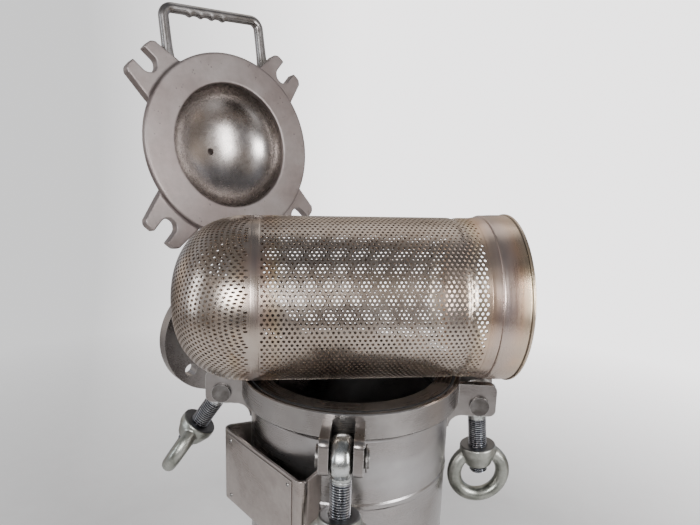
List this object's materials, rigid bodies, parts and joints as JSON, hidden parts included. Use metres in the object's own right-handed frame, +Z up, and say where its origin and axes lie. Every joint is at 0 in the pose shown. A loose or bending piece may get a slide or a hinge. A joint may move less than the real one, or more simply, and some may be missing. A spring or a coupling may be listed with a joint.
{
  "type": "basket strainer",
  "caption": "Basket strainer: a cylindrical vessel with a swing-bolted hinged lid standing open and its perforated basket lying across the collar",
  "frame": {"origin": "on the vessel axis at floor level, at the centre of the three foot bolts", "axes": "+Z up along the vessel axis, +X toward the right-hand clevis, -Y toward the front clevis; the lid opens to the back left, over the inlet"},
  "size_m": [0.4873, 0.4873, 0.9641],
  "materials": {
    "vessel_steel": "pickled and brushed stainless",
    "machined_steel": "turned stainless",
    "lid_steel": "blasted cast stainless",
    "basket_steel": "perforated stainless with heat tint",
    "bolt_steel": "dark stainless thread",
    "nut_steel": "forged, lightly greenish",
    "seal_rubber": "black",
    "plate_steel": "fine brushed plate"
  },
  "bodies": {
    "vessel": {"bottom_head": "vessel_steel", "clevis_back": "vessel_steel", "clevis_front": "vessel_steel", "clevis_left": "vessel_steel", "clevis_right": "vessel_steel", "drain_coupling": "vessel_steel", "drain_plug": "bolt_steel", "foot_plate_1": "vessel_steel", "foot_plate_2": "vessel_steel", "foot_plate_3": "vessel_steel", "hinge_ear_1": "vessel_steel", "hinge_ear_2": "vessel_steel", "hinge_pin": "bolt_steel", "hinge_pin_clip": "bolt_steel", "hinge_stop_bar": "vessel_steel", "inlet_flange": "machined_steel", "inlet_nozzle": "vessel_steel", "leg_1": "vessel_steel", "leg_2": "vessel_steel", "leg_3": "vessel_steel", "lid_seal": "seal_rubber", "nameplate": "plate_steel", "nameplate_bracket": "vessel_steel", "nameplate_rivets": "bolt_steel", "outlet_flange": "machined_steel", "outlet_nozzle": "vessel_steel", "pivot_pin_back": "bolt_steel", "pivot_pin_clips": "bolt_steel", "pivot_pin_front": "bolt_steel", "pivot_pin_left": "bolt_steel", "pivot_pin_right": "bolt_steel", "seat_ring": "machined_steel", "shell_tube": "vessel_steel", "top_collar": "machined_steel"},
    "lid": {"lid_ring": "lid_steel", "lid_dome": "lid_steel", "lid_handle": "lid_steel", "lid_hinge_arm": "lid_steel", "vent_boss": "lid_steel"},
    "basket": {"basket_screen": "basket_steel", "basket_dome": "basket_steel", "basket_band": "basket_steel", "basket_neck": "basket_steel", "basket_rim": "basket_steel"},
    "bolt_front": {"swing_bolt_front": "bolt_steel"},
    "nut_front": {"eye_nut_front": "nut_steel"},
    "bolt_right": {"swing_bolt_right": "bolt_steel"},
    "nut_right": {"eye_nut_right": "nut_steel"},
    "bolt_back": {"swing_bolt_back": "bolt_steel"},
    "nut_back": {"eye_nut_back": "nut_steel"},
    "bolt_left": {"swing_bolt_left": "bolt_steel"},
    "nut_left": {"eye_nut_left": "nut_steel"}
  },
  "joints": [
    {"name": "lid_hinge", "type": "hinge", "parent": "vessel", "child": "lid", "pos_m": [-0.15274, 0.15274, 0.576], "axis": [0.7071, 0.7071, 0], "range_deg": [0, 101.3]},
    {"name": "basket_slide", "type": "slide", "parent": "vessel", "child": "basket", "axis": [0.7071, -0.7071, 0], "range_m": [0, 0.421]},
    {"name": "bolt_swing_front", "type": "hinge", "parent": "vessel", "child": "bolt_front", "pos_m": [0, -0.141, 0.529], "axis": [-1, 0, 0], "range_deg": [0, 174.5]},
    {"name": "nut_turn_front", "type": "hinge", "parent": "bolt_front", "child": "nut_front", "pos_m": [0, -0.141, 0.529], "axis": [0, -0.0958, -0.9954], "continuous": true},
    {"name": "bolt_swing_right", "type": "hinge", "parent": "vessel", "child": "bolt_right", "pos_m": [0.141, 0, 0.529], "axis": [0, -1, 0], "range_deg": [0, 115]},
    {"name": "nut_turn_right", "type": "hinge", "parent": "bolt_right", "child": "nut_right", "pos_m": [0.141, 0, 0.529], "axis": [0.0958, 0, -0.9954], "continuous": true},
    {"name": "bolt_swing_back", "type": "hinge", "parent": "vessel", "child": "bolt_back", "pos_m": [0, 0.141, 0.529], "axis": [1, 0, 0], "range_deg": [0, 174.5]},
    {"name": "nut_turn_back", "type": "hinge", "parent": "bolt_back", "child": "nut_back", "pos_m": [0, 0.141, 0.529], "axis": [0, 0.0958, -0.9954], "continuous": true},
    {"name": "bolt_swing_left", "type": "hinge", "parent": "vessel", "child": "bolt_left", "pos_m": [-0.141, 0, 0.529], "axis": [0, 1, 0], "range_deg": [-28.5, 100]},
    {"name": "nut_turn_left", "type": "hinge", "parent": "bolt_left", "child": "nut_left", "pos_m": [-0.141, 0, 0.529], "axis": [-0.5592, 0, -0.829], "continuous": true}
  ],
  "couplings": [
    {"joint": "basket_slide", "follows": "lid_hinge", "m_per_rad": 0.2376}
  ]
}
